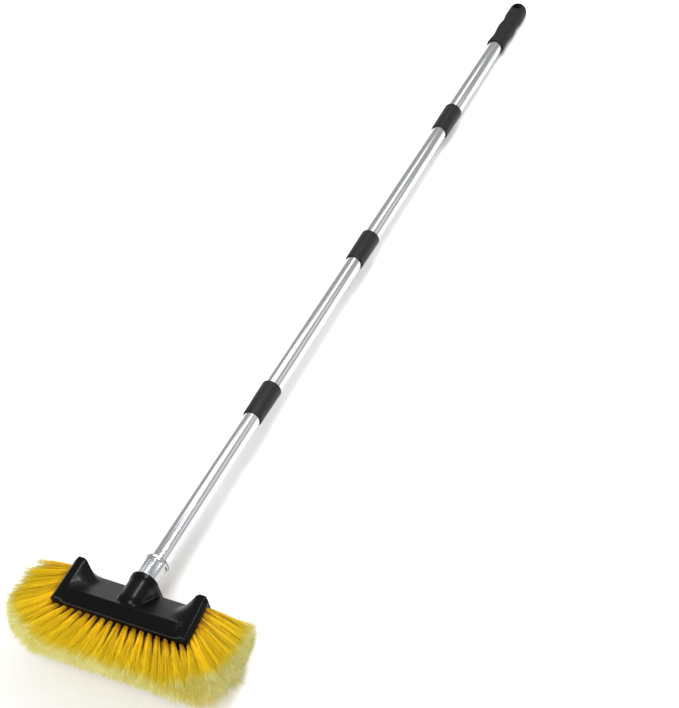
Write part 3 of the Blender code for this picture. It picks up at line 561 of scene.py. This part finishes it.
for side, name in ((-1, "front"), (1, "rear")):
    for row, filaments in enumerate(BEVEL_FILAMENTS):
        centres, normals = bevel_row(side, row, TUFT_COLUMNS - row)
        share = side * (1 - (row + 0.5) / FAN_ROWS)
        tuft_row(f"{name}_tufts_{row + 1}", "long", centres, normals, share, filaments,
                 f"{name}_bristle_row_{row + 1}", seed=10 + 2 * row + side)
for row in range(UNDERSIDE_ROWS):
    from_middle = row - UNDERSIDE_ROWS // 2
    columns = TUFT_COLUMNS - row % 2
    centres = [(place, from_middle * TUFT_ROW_SPACING, -BED_DEPTH) for place in hole_places(columns)]
    tuft_row(f"underside_tufts_{row + 1}", "long", centres, [(0, 0, -1)] * columns, from_middle / FAN_ROWS,
             UNDERSIDE_FILAMENTS, f"base_bristle_row_{row + 1}", seed=30 + row)
for side, name in ((1, "left"), (-1, "right")):
    for row, (columns, reach, filaments) in enumerate(END_ROWS):
        middle = 0 if row == 0 else RIDGE_PEAK_PLACE * (1 - reach / BLOCK_HALF_WIDTH)
        centres = []
        for column in range(columns):
            across = middle + (column / (columns - 1) * 2 - 1) * reach
            up = ridge_height(across) - END_ROW_DROP - row * END_ROW_SPACING
            centres.append((side * (BED_END - END_LEAN * up), across, up))
        tuft_row(f"{name}_tufts_{row + 1}", "end", centres, [(side, 0, END_LEAN)] * columns, 0, filaments,
                 f"{name}_bristle_row_{row + 1}", seed=50 + 7 * row + side)


# Pole tubes: drawn aluminium tube of one inch, 1 mm wall, in four lengths. All but the first have a
# pilot and a rolled thread at the end toward the head, which turn with their section, so the
# threads are pieces of their own.
TUBE_RADIUS = 0.0127
TUBE_WALL = 0.0010
TUBE_EDGE = 0.0002
TUBE_END_GAP = 0.0009
PILOT_RADIUS = 0.0123
PILOT_LENGTH = 0.0145
PILOT_EDGE = 0.0008
THREAD_ROOT_RADIUS = 0.0119
THREAD_RUNOUT = 0.0006
ROLLED_THREAD_START = 0.0024
ROLLED_THREAD_PITCH = 0.0042
ROLLED_THREAD_WIDTHS = (0.0034, 0.0012)
ROLLED_THREAD_TURNS = 3.0
FIT_GAP = 0.0003
THREAD_GAP = 0.0001
TIP_LENGTH = 0.0388
TIP_SHOULDER_LENGTH = 0.0087
FIRST_BARE_LENGTH = 0.283
MIDDLE_LENGTH = 0.395
LAST_LENGTH = 0.379
JOINT_DEPTH = 0.0317
COUPLER_LENGTH = 0.066
COUPLER_WEB = 0.0020
GRIP_LENGTH = 0.137
GRIP_SOCKET_DEPTH = 0.095
FIRST_MOUTH = FIT_GAP + TIP_LENGTH + FIRST_BARE_LENGTH + COUPLER_LENGTH
TURNED_STEPS = 96
THREAD_STEPS = 48
pole_axis = Vector(pole_turn["axis"]).normalized()
pole_lean = Matrix.Rotation(SOCKET_RISE - math.pi / 2, 4, "X")
pole_place = head_place @ Matrix.Translation(seat_in_head) @ pole_lean


def turned(name, profile, edge=0.0, closed=False):
    """A turned piece: its profile of radii and places along the pole, spun about the pole's axis."""
    mesh = bpy.data.meshes.new(name)
    links = [(i, i + 1) for i in range(len(profile) - 1)]
    if closed:
        links.append((len(profile) - 1, 0))
    mesh.from_pydata([(radius, 0, along) for radius, along in profile], links, [])
    item = bpy.data.objects.new(name, mesh)
    bpy.context.scene.collection.objects.link(item)
    select_only(item)
    bpy.ops.object.mode_set(mode="EDIT")
    bpy.ops.mesh.select_all(action="SELECT")
    bpy.ops.mesh.spin(steps=TURNED_STEPS, angle=2 * math.pi, center=(0, 0, 0), axis=(0, 0, 1))
    bpy.ops.mesh.select_all(action="SELECT")
    bpy.ops.mesh.remove_doubles(threshold=WELD)
    bpy.ops.mesh.normals_make_consistent(inside=False)
    bpy.ops.object.mode_set(mode="OBJECT")
    if edge:
        apply_modifier(item, "BEVEL", width=edge, segments=3, limit_method="ANGLE",
                       angle_limit=math.radians(35))
    return item


def thread(name, root, crest, pitch, widths, start, turns):
    """A helical thread ridge: its section is screwed along the axis and closed at both ends."""
    mesh = bpy.data.meshes.new(name)
    sunk = root - FIT_GAP
    base, top = widths
    section = [(sunk, -base / 2), (crest, -top / 2), (crest, top / 2), (sunk, base / 2)]
    points = [(radius, 0, start + along) for radius, along in section]
    mesh.from_pydata(points, [(0, 1), (1, 2), (2, 3), (3, 0)], [])
    item = bpy.data.objects.new(name, mesh)
    bpy.context.scene.collection.objects.link(item)
    steps = int(THREAD_STEPS * turns)
    apply_modifier(item, "SCREW", screw_offset=pitch * turns, angle=2 * math.pi * turns, steps=steps,
                   render_steps=steps, iterations=1, axis="Z", use_smooth_shade=True)
    bpy.ops.object.mode_set(mode="EDIT")
    bpy.ops.mesh.select_all(action="DESELECT")
    bpy.ops.mesh.select_non_manifold(extend=False)
    bpy.ops.mesh.edge_face_add()
    bpy.ops.mesh.select_all(action="SELECT")
    bpy.ops.mesh.normals_make_consistent(inside=False)
    bpy.ops.object.mode_set(mode="OBJECT")
    return item


def finish_piece(item, material, body, slot, *nodes, angle=30):
    """Gives a piece on the pole its shading, finish and place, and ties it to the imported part."""
    smooth(item, angle)
    item.data.materials.append(material)
    settle(item, pole_place)
    if nodes:
        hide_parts(*nodes)
    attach(item, body)


# drawn aluminium: bright and satin, with fine die lines along the tube, drawn here 0.5 mm apart
drawn_aluminium, shader = new_material("drawn_aluminium", "#d8dadc", Metallic=1.0, Roughness=0.20)
tube_coords = add_node(drawn_aluminium, "ShaderNodeTexCoord")
tube_turn = add_node(drawn_aluminium, "ShaderNodeMapping",
                     {"Rotation": (0, -math.asin(-pole_axis.z), 0), "Scale": (3.0, 700.0, 700.0)},
                     Vector=tube_coords.outputs["Object"])
die_lines = add_node(drawn_aluminium, "ShaderNodeTexNoise", {"Scale": 3.0, "Detail": 3.0},
                     Vector=tube_turn.outputs["Vector"])
tube_gloss = add_node(drawn_aluminium, "ShaderNodeMapRange", {"To Min": 0.14, "To Max": 0.26},
                      Value=die_lines.outputs["Fac"])
drawn_aluminium.node_tree.links.new(tube_gloss.outputs["Result"], shader.inputs["Roughness"])

tube_start = FIT_GAP + TIP_SHOULDER_LENGTH + FIT_GAP
mouth = FIRST_MOUTH
bore = TUBE_RADIUS - TUBE_WALL
pilot_bore = THREAD_ROOT_RADIUS - TUBE_WALL
for number in (1, 2, 3, 4):
    tube_end = mouth - JOINT_DEPTH - COUPLER_WEB - TUBE_END_GAP
    if number == 4:
        tube_end = tube_start + LAST_LENGTH - GRIP_LENGTH + GRIP_SOCKET_DEPTH - FIT_GAP
    if number == 1:
        profile = [
            (TUBE_RADIUS, tube_end), (TUBE_RADIUS, tube_start), (bore, tube_start), (bore, tube_end),
        ]
    else:
        pilot_end = tube_start + PILOT_LENGTH
        profile = [
            (TUBE_RADIUS, tube_end), (TUBE_RADIUS, tube_start + JOINT_DEPTH),
            (THREAD_ROOT_RADIUS, tube_start + JOINT_DEPTH - THREAD_RUNOUT),
            (THREAD_ROOT_RADIUS, pilot_end + THREAD_RUNOUT), (PILOT_RADIUS, pilot_end),
            (PILOT_RADIUS, tube_start + PILOT_EDGE), (PILOT_RADIUS - PILOT_EDGE, tube_start),
            (pilot_bore, tube_start), (pilot_bore, tube_end),
        ]
        rolled = thread(f"rolled_thread_{number}", THREAD_ROOT_RADIUS, TUBE_RADIUS - THREAD_GAP,
                        ROLLED_THREAD_PITCH, ROLLED_THREAD_WIDTHS, pilot_end + ROLLED_THREAD_START,
                        ROLLED_THREAD_TURNS)
        finish_piece(rolled, drawn_aluminium, f"section_{number}", "pole_metal", angle=50)
    tube = turned(f"pole_tube_{number}", profile, edge=TUBE_EDGE, closed=True)
    finish_piece(tube, drawn_aluminium, f"tube_{number}_travel", "pole_metal", f"tube_{number}")
    tube_start = mouth - JOINT_DEPTH
    mouth = tube_start + MIDDLE_LENGTH


# Threaded tip: nylon with a silver pigment, moulded round the first tube's end, with a coarse thread
# for the head, a flange, six flats with sunk panels for the hand, and a lip. The stub under the thread
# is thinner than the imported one, whose plain radius stands for the middle of the thread.
TIP_STUB_RADIUS = 0.0080
TIP_STUB_TOP = -0.004
TIP_EDGE = 0.0005
TIP_THREAD_RADIUS = 0.0092
TIP_THREAD_PITCH = 0.00508
TIP_THREAD_WIDTHS = (0.0037, 0.0021)
TIP_THREAD_START = -0.0215
TIP_THREAD_TURNS = 2.9
FLAT_AREA = 0.00015
FLAT_LEAN = 0.2
PANEL_FRAME = 0.0008
PANEL_SLOPE = 0.0005
PANEL_DEPTH = 0.0006

# the flakes of pigment lie flat in the skin and give it a soft metal sheen with a fine mottle
silver_nylon, shader = new_material("silver_pigmented_nylon", "#bec0c3", Roughness=0.20, Metallic=0.92)
tip_coords = add_node(silver_nylon, "ShaderNodeTexCoord")
tip_grain = add_node(silver_nylon, "ShaderNodeTexNoise", {"Scale": 900.0, "Detail": 3.0},
                     Vector=tip_coords.outputs["Object"])
tip_tone = add_node(silver_nylon, "ShaderNodeValToRGB", None, Fac=tip_grain.outputs["Fac"])
tip_tone.color_ramp.elements[0].color = linear("#b9bbbe")
tip_tone.color_ramp.elements[1].color = linear("#d4d6d8")
silver_nylon.node_tree.links.new(tip_tone.outputs["Color"], shader.inputs["Base Color"])

tip = merged_copy("tip_connector", "threaded_tip", pole_place)
select_only(tip)
bpy.ops.object.mode_set(mode="EDIT")
bpy.ops.mesh.select_all(action="SELECT")
bpy.ops.mesh.dissolve_limited(angle_limit=math.radians(1))
bpy.ops.mesh.select_all(action="DESELECT")
bpy.ops.object.mode_set(mode="OBJECT")
for face in tip.data.polygons:
    face.select = face.area > FLAT_AREA and abs(face.normal.z) < FLAT_LEAN
bpy.ops.object.mode_set(mode="EDIT")
bpy.ops.mesh.inset(thickness=PANEL_FRAME, depth=0, use_individual=True)
bpy.ops.mesh.inset(thickness=PANEL_SLOPE, depth=-PANEL_DEPTH, use_individual=True)
bpy.ops.object.mode_set(mode="OBJECT")
for vertex in tip.data.vertices:
    radius = math.hypot(vertex.co.x, vertex.co.y)
    if vertex.co.z < TIP_STUB_TOP and radius > TIP_STUB_RADIUS:
        vertex.co.x *= TIP_STUB_RADIUS / radius
        vertex.co.y *= TIP_STUB_RADIUS / radius
apply_modifier(tip, "BEVEL", width=TIP_EDGE, segments=3, limit_method="ANGLE", angle_limit=math.radians(25))
finish_piece(tip, silver_nylon, "section_1", "tip_plastic", "tip_connector", angle=35)
tip_thread = thread("tip_thread", TIP_STUB_RADIUS, TIP_THREAD_RADIUS, TIP_THREAD_PITCH, TIP_THREAD_WIDTHS,
                    TIP_THREAD_START, TIP_THREAD_TURNS)
finish_piece(tip_thread, silver_nylon, "section_1", "tip_plastic", angle=50)

# blued steel: a dark rivet, its head scuffed by the die that set it
blued_steel, shader = new_material("blued_steel_rivet", "#3a3c40", Metallic=1.0, Roughness=0.35)
rivet_coords = add_node(blued_steel, "ShaderNodeTexCoord")
rivet_marks = add_node(blued_steel, "ShaderNodeTexNoise", {"Scale": 1500.0},
                       Vector=rivet_coords.outputs["Object"])
rivet_gloss = add_node(blued_steel, "ShaderNodeMapRange", {"To Min": 0.28, "To Max": 0.45},
                       Value=rivet_marks.outputs["Fac"])
blued_steel.node_tree.links.new(rivet_gloss.outputs["Result"], shader.inputs["Roughness"])
rivet = merged_copy("tip_rivet", "tip_rivet_head", pole_place)
finish_piece(rivet, blued_steel, "section_1", "rivet_metal", "tip_rivet", angle=40)


# Couplers: black nylon sockets pressed on one tube and threaded for the next, a little wider at the
# mouth, where the mould leaves a rounded lip.
COUPLER_MOUTH_RADIUS = 0.0142
COUPLER_LIP_RADIUS = 0.0156
COUPLER_LIP_LENGTH = 0.0014
COUPLER_BASE_RADIUS = 0.0147
COUPLER_WEB_BORE = 0.0100
COUPLER_CHAMFER = 0.0008
COUPLER_EDGE = 0.0005

# glass-filled nylon: black but duller than the head, greyed by the fibres that lie in its skin
coupler_nylon, shader = new_material("glass_filled_black_nylon", "#1b1c1e", Roughness=0.48,
                                     Specular_IOR_Level=0.25)
nylon_coords = add_node(coupler_nylon, "ShaderNodeTexCoord")
nylon_grain = add_node(coupler_nylon, "ShaderNodeTexNoise", {"Scale": 1400.0, "Detail": 3.0},
                       Vector=nylon_coords.outputs["Object"])
nylon_gloss = add_node(coupler_nylon, "ShaderNodeMapRange", {"To Min": 0.42, "To Max": 0.56},
                       Value=nylon_grain.outputs["Fac"])
coupler_nylon.node_tree.links.new(nylon_gloss.outputs["Result"], shader.inputs["Roughness"])
nylon_bump = add_node(coupler_nylon, "ShaderNodeBump", {"Strength": 0.15, "Distance": 0.0002},
                      Height=nylon_grain.outputs["Fac"])
coupler_nylon.node_tree.links.new(nylon_bump.outputs["Normal"], shader.inputs["Normal"])

mouth = FIRST_MOUTH
bore = TUBE_RADIUS + FIT_GAP
for number in (1, 2, 3):
    base = mouth - COUPLER_LENGTH
    web_end = mouth - JOINT_DEPTH - FIT_GAP
    profile = [
        (COUPLER_WEB_BORE, web_end), (bore, web_end),
        (bore, mouth - COUPLER_CHAMFER), (bore + COUPLER_CHAMFER, mouth), (COUPLER_MOUTH_RADIUS, mouth),
        (COUPLER_LIP_RADIUS, mouth - COUPLER_LIP_LENGTH), (COUPLER_BASE_RADIUS, base + COUPLER_CHAMFER),
        (COUPLER_BASE_RADIUS - COUPLER_CHAMFER, base), (bore, base),
        (bore, web_end - COUPLER_WEB), (COUPLER_WEB_BORE, web_end - COUPLER_WEB),
    ]
    coupler = turned(f"pole_coupler_{number}", profile, edge=COUPLER_EDGE, closed=True)
    finish_piece(coupler, coupler_nylon, f"section_{number}", "coupler_plastic", f"coupler_{number}")
    mouth += MIDDLE_LENGTH - JOINT_DEPTH


# Grip: a black thermoplastic rubber sleeve pushed over the last tube, drawn in at two waists, with
# fine grooves all round for the hand and an oblong hole to hang the brush by.
GRIP_RADIUS = 0.0159
GRIP_WAIST_RADIUS = 0.0141
GRIP_SWELLING_SHARES = (0.0, 0.425, 0.73)
GRIP_CHAMFER = 0.0008
GROOVE_PITCH = 0.0028
GROOVE_DEPTH = 0.00045
RIB_WIDTH = 0.0014
GROOVE_FLOOR = (0.0018, 0.0024)
GROOVED_SHARE = 0.74
LAST_GROOVE = 0.0012
DOME_STEPS = 16
HOLE_WIDTH = 0.0141
HOLE_LENGTH = 0.0216
HOLE_LAND = 0.0076
HOLE_CUTTER_LENGTH = 0.06
HOLE_STEPS = 48
grip_start = FIRST_MOUTH + 2 * (MIDDLE_LENGTH - JOINT_DEPTH) - JOINT_DEPTH + LAST_LENGTH - GRIP_LENGTH
grip_end = grip_start + GRIP_LENGTH
dome_start = grip_end - GRIP_RADIUS


def grip_radius(share):
    """The sleeve's radius along it: it swells at its ends and middle, and draws in between."""
    start, middle, end = GRIP_SWELLING_SHARES
    if share >= end:
        return GRIP_RADIUS
    start, end = (start, middle) if share < middle else (middle, end)
    waist = (1 - math.cos(2 * math.pi * (share - start) / (end - start))) / 2
    return GRIP_RADIUS - (GRIP_RADIUS - GRIP_WAIST_RADIUS) * waist


profile = [(0, grip_end)]
for step in range(1, DOME_STEPS):
    angle = math.pi / 2 * step / DOME_STEPS
    profile.append((GRIP_RADIUS * math.sin(angle), dome_start + GRIP_RADIUS * math.cos(angle)))
along = dome_start
while along > grip_start + LAST_GROOVE:
    share = (along - grip_start) / GRIP_LENGTH
    radius = grip_radius(share)
    profile.append((radius, along))
    if share < GROOVED_SHARE:
        profile.append((radius, along - RIB_WIDTH))
        profile += [(radius - GROOVE_DEPTH, along - place) for place in GROOVE_FLOOR]
    along -= GROOVE_PITCH
bore = TUBE_RADIUS + FIT_GAP
profile += [
    (GRIP_RADIUS, grip_start + GRIP_CHAMFER), (GRIP_RADIUS - GRIP_CHAMFER, grip_start), (bore, grip_start),
    (bore, grip_start + GRIP_SOCKET_DEPTH), (0, grip_start + GRIP_SOCKET_DEPTH),
]
grip = turned("rubber_grip", profile)

hole_middle = grip_end - HOLE_LAND - HOLE_LENGTH / 2
bpy.ops.object.select_all(action="DESELECT")
bpy.ops.mesh.primitive_cylinder_add(vertices=HOLE_STEPS, radius=HOLE_WIDTH / 2, depth=HOLE_CUTTER_LENGTH,
                                    rotation=(math.pi / 2, 0, 0), location=(0, 0, hole_middle))
hole = bpy.context.object
bpy.ops.object.transform_apply(location=True, rotation=True, scale=True)
for vertex in hole.data.vertices:
    vertex.co.z += math.copysign((HOLE_LENGTH - HOLE_WIDTH) / 2, vertex.co.z - hole_middle)
apply_modifier(grip, "BOOLEAN", object=hole, operation="DIFFERENCE", solver="EXACT")
bpy.data.objects.remove(hole)

# thermoplastic rubber: matt black with a fine moulded grain that scatters the highlight
grip_rubber, shader = new_material("thermoplastic_rubber", "#181819", Roughness=0.62, Specular_IOR_Level=0.30)
grip_coords = add_node(grip_rubber, "ShaderNodeTexCoord")
grip_grain = add_node(grip_rubber, "ShaderNodeTexNoise", {"Scale": 1800.0, "Detail": 2.0},
                      Vector=grip_coords.outputs["Object"])
grip_bump = add_node(grip_rubber, "ShaderNodeBump", {"Strength": 0.25, "Distance": 0.0002},
                     Height=grip_grain.outputs["Fac"])
grip_rubber.node_tree.links.new(grip_bump.outputs["Normal"], shader.inputs["Normal"])
finish_piece(grip, grip_rubber, "section_4", "grip_plastic", "grip", angle=40)


# Studio: a white floor, a white world and soft lamps, which show as the light bands on the pole and
# the head, with the camera where the photograph's was.
WORLD_STRENGTH = 0.45
SUN_STRENGTH = 1.55
SUN_SOFTNESS = math.radians(25)
SUN_DIRECTION = Vector((-0.50, -0.22, 0.84))
FLOOR_SIZE = 30
floor_white, shader = new_material("studio_white_floor", "#ffffff", Roughness=0.9)
bpy.ops.object.select_all(action="DESELECT")
bpy.ops.mesh.primitive_grid_add(x_subdivisions=8, y_subdivisions=8, size=FLOOR_SIZE, location=(0, 0, 0))
studio_floor = bpy.context.object
studio_floor.name = "studio_floor"
studio_floor.data.materials.append(floor_white)

world = bpy.data.worlds.new("studio_white")
bpy.context.scene.world = world
world.use_nodes = True
background = world.node_tree.nodes["Background"]
background.inputs["Color"].default_value = (1, 1, 1, 1)
background.inputs["Strength"].default_value = WORLD_STRENGTH

sun = bpy.data.lights.new("overhead_light", "SUN")
sun.energy = SUN_STRENGTH
sun.angle = SUN_SOFTNESS
sun_holder = bpy.data.objects.new("overhead_light", sun)
bpy.context.scene.collection.objects.link(sun_holder)
sun_holder.rotation_euler = SUN_DIRECTION.to_track_quat("Z", "Y").to_euler()

# each softbox: its place, the point it faces, its length and width, and its power in watts
SOFTBOXES = (
    ("near_pole_softbox", (0.55, 0.25, 1.20), (0.55, 0.25, 0), (0.8, 1.15), 4.4),
    ("far_pole_softbox", (1.60, -0.05, 1.20), (1.60, -0.05, 0), (1.3, 0.62), 4.1),
    ("pole_side_softbox", (1.0, -1.7, 1.1), (0.5, 0, 0.05), (2.4, 0.9), 3.2),
    ("edge_softbox", (0.03, -0.34, 1.44), (-0.7, 0, 0.1), (0.26, 0.20), 10),
    ("side_softbox", (-2.4, 0.88, 0.95), (-0.7, 0, 0.05), (0.6, 0.5), 12),
)
for name, place, target, (length, width), power in SOFTBOXES:
    lamp = bpy.data.lights.new(name, "AREA")
    lamp.shape = "RECTANGLE"
    lamp.size = length
    lamp.size_y = width
    lamp.energy = power
    holder = bpy.data.objects.new(name, lamp)
    bpy.context.scene.collection.objects.link(holder)
    holder.visible_camera = False
    holder.location = place
    holder.rotation_euler = (Vector(target) - Vector(place)).to_track_quat("-Z", "Y").to_euler()

# the camera was fitted to the photograph: its three axes and its offset are in the head's own frame
PHOTO_HEIGHT_PIXELS = 708
FOCAL_LENGTH_PIXELS = 1700
SENSOR_WIDTH = 36
photo_right = Vector((0.9126, 0.3824, 0.1450))
forward = Vector((-0.3365, 0.9036, -0.2652)).normalized()
sideways = (photo_right - forward * photo_right.dot(forward)).normalized()
downward = forward.cross(sideways)
offset = Vector((-0.2671, 0.3338, 2.1927))
turn = Matrix((sideways, -downward, -forward)).transposed().to_4x4()
spot = -(sideways * offset.x + downward * offset.y + forward * offset.z)
camera_data = bpy.data.cameras.new("photograph_camera")
camera_data.lens = FOCAL_LENGTH_PIXELS / PHOTO_HEIGHT_PIXELS * SENSOR_WIDTH
camera_data.sensor_width = SENSOR_WIDTH
camera = bpy.data.objects.new("photograph_camera", camera_data)
bpy.context.scene.collection.objects.link(camera)
camera.matrix_world = head_place @ Matrix.Translation(spot) @ turn
bpy.context.scene.camera = camera
bpy.context.scene.view_settings.view_transform = "Standard"
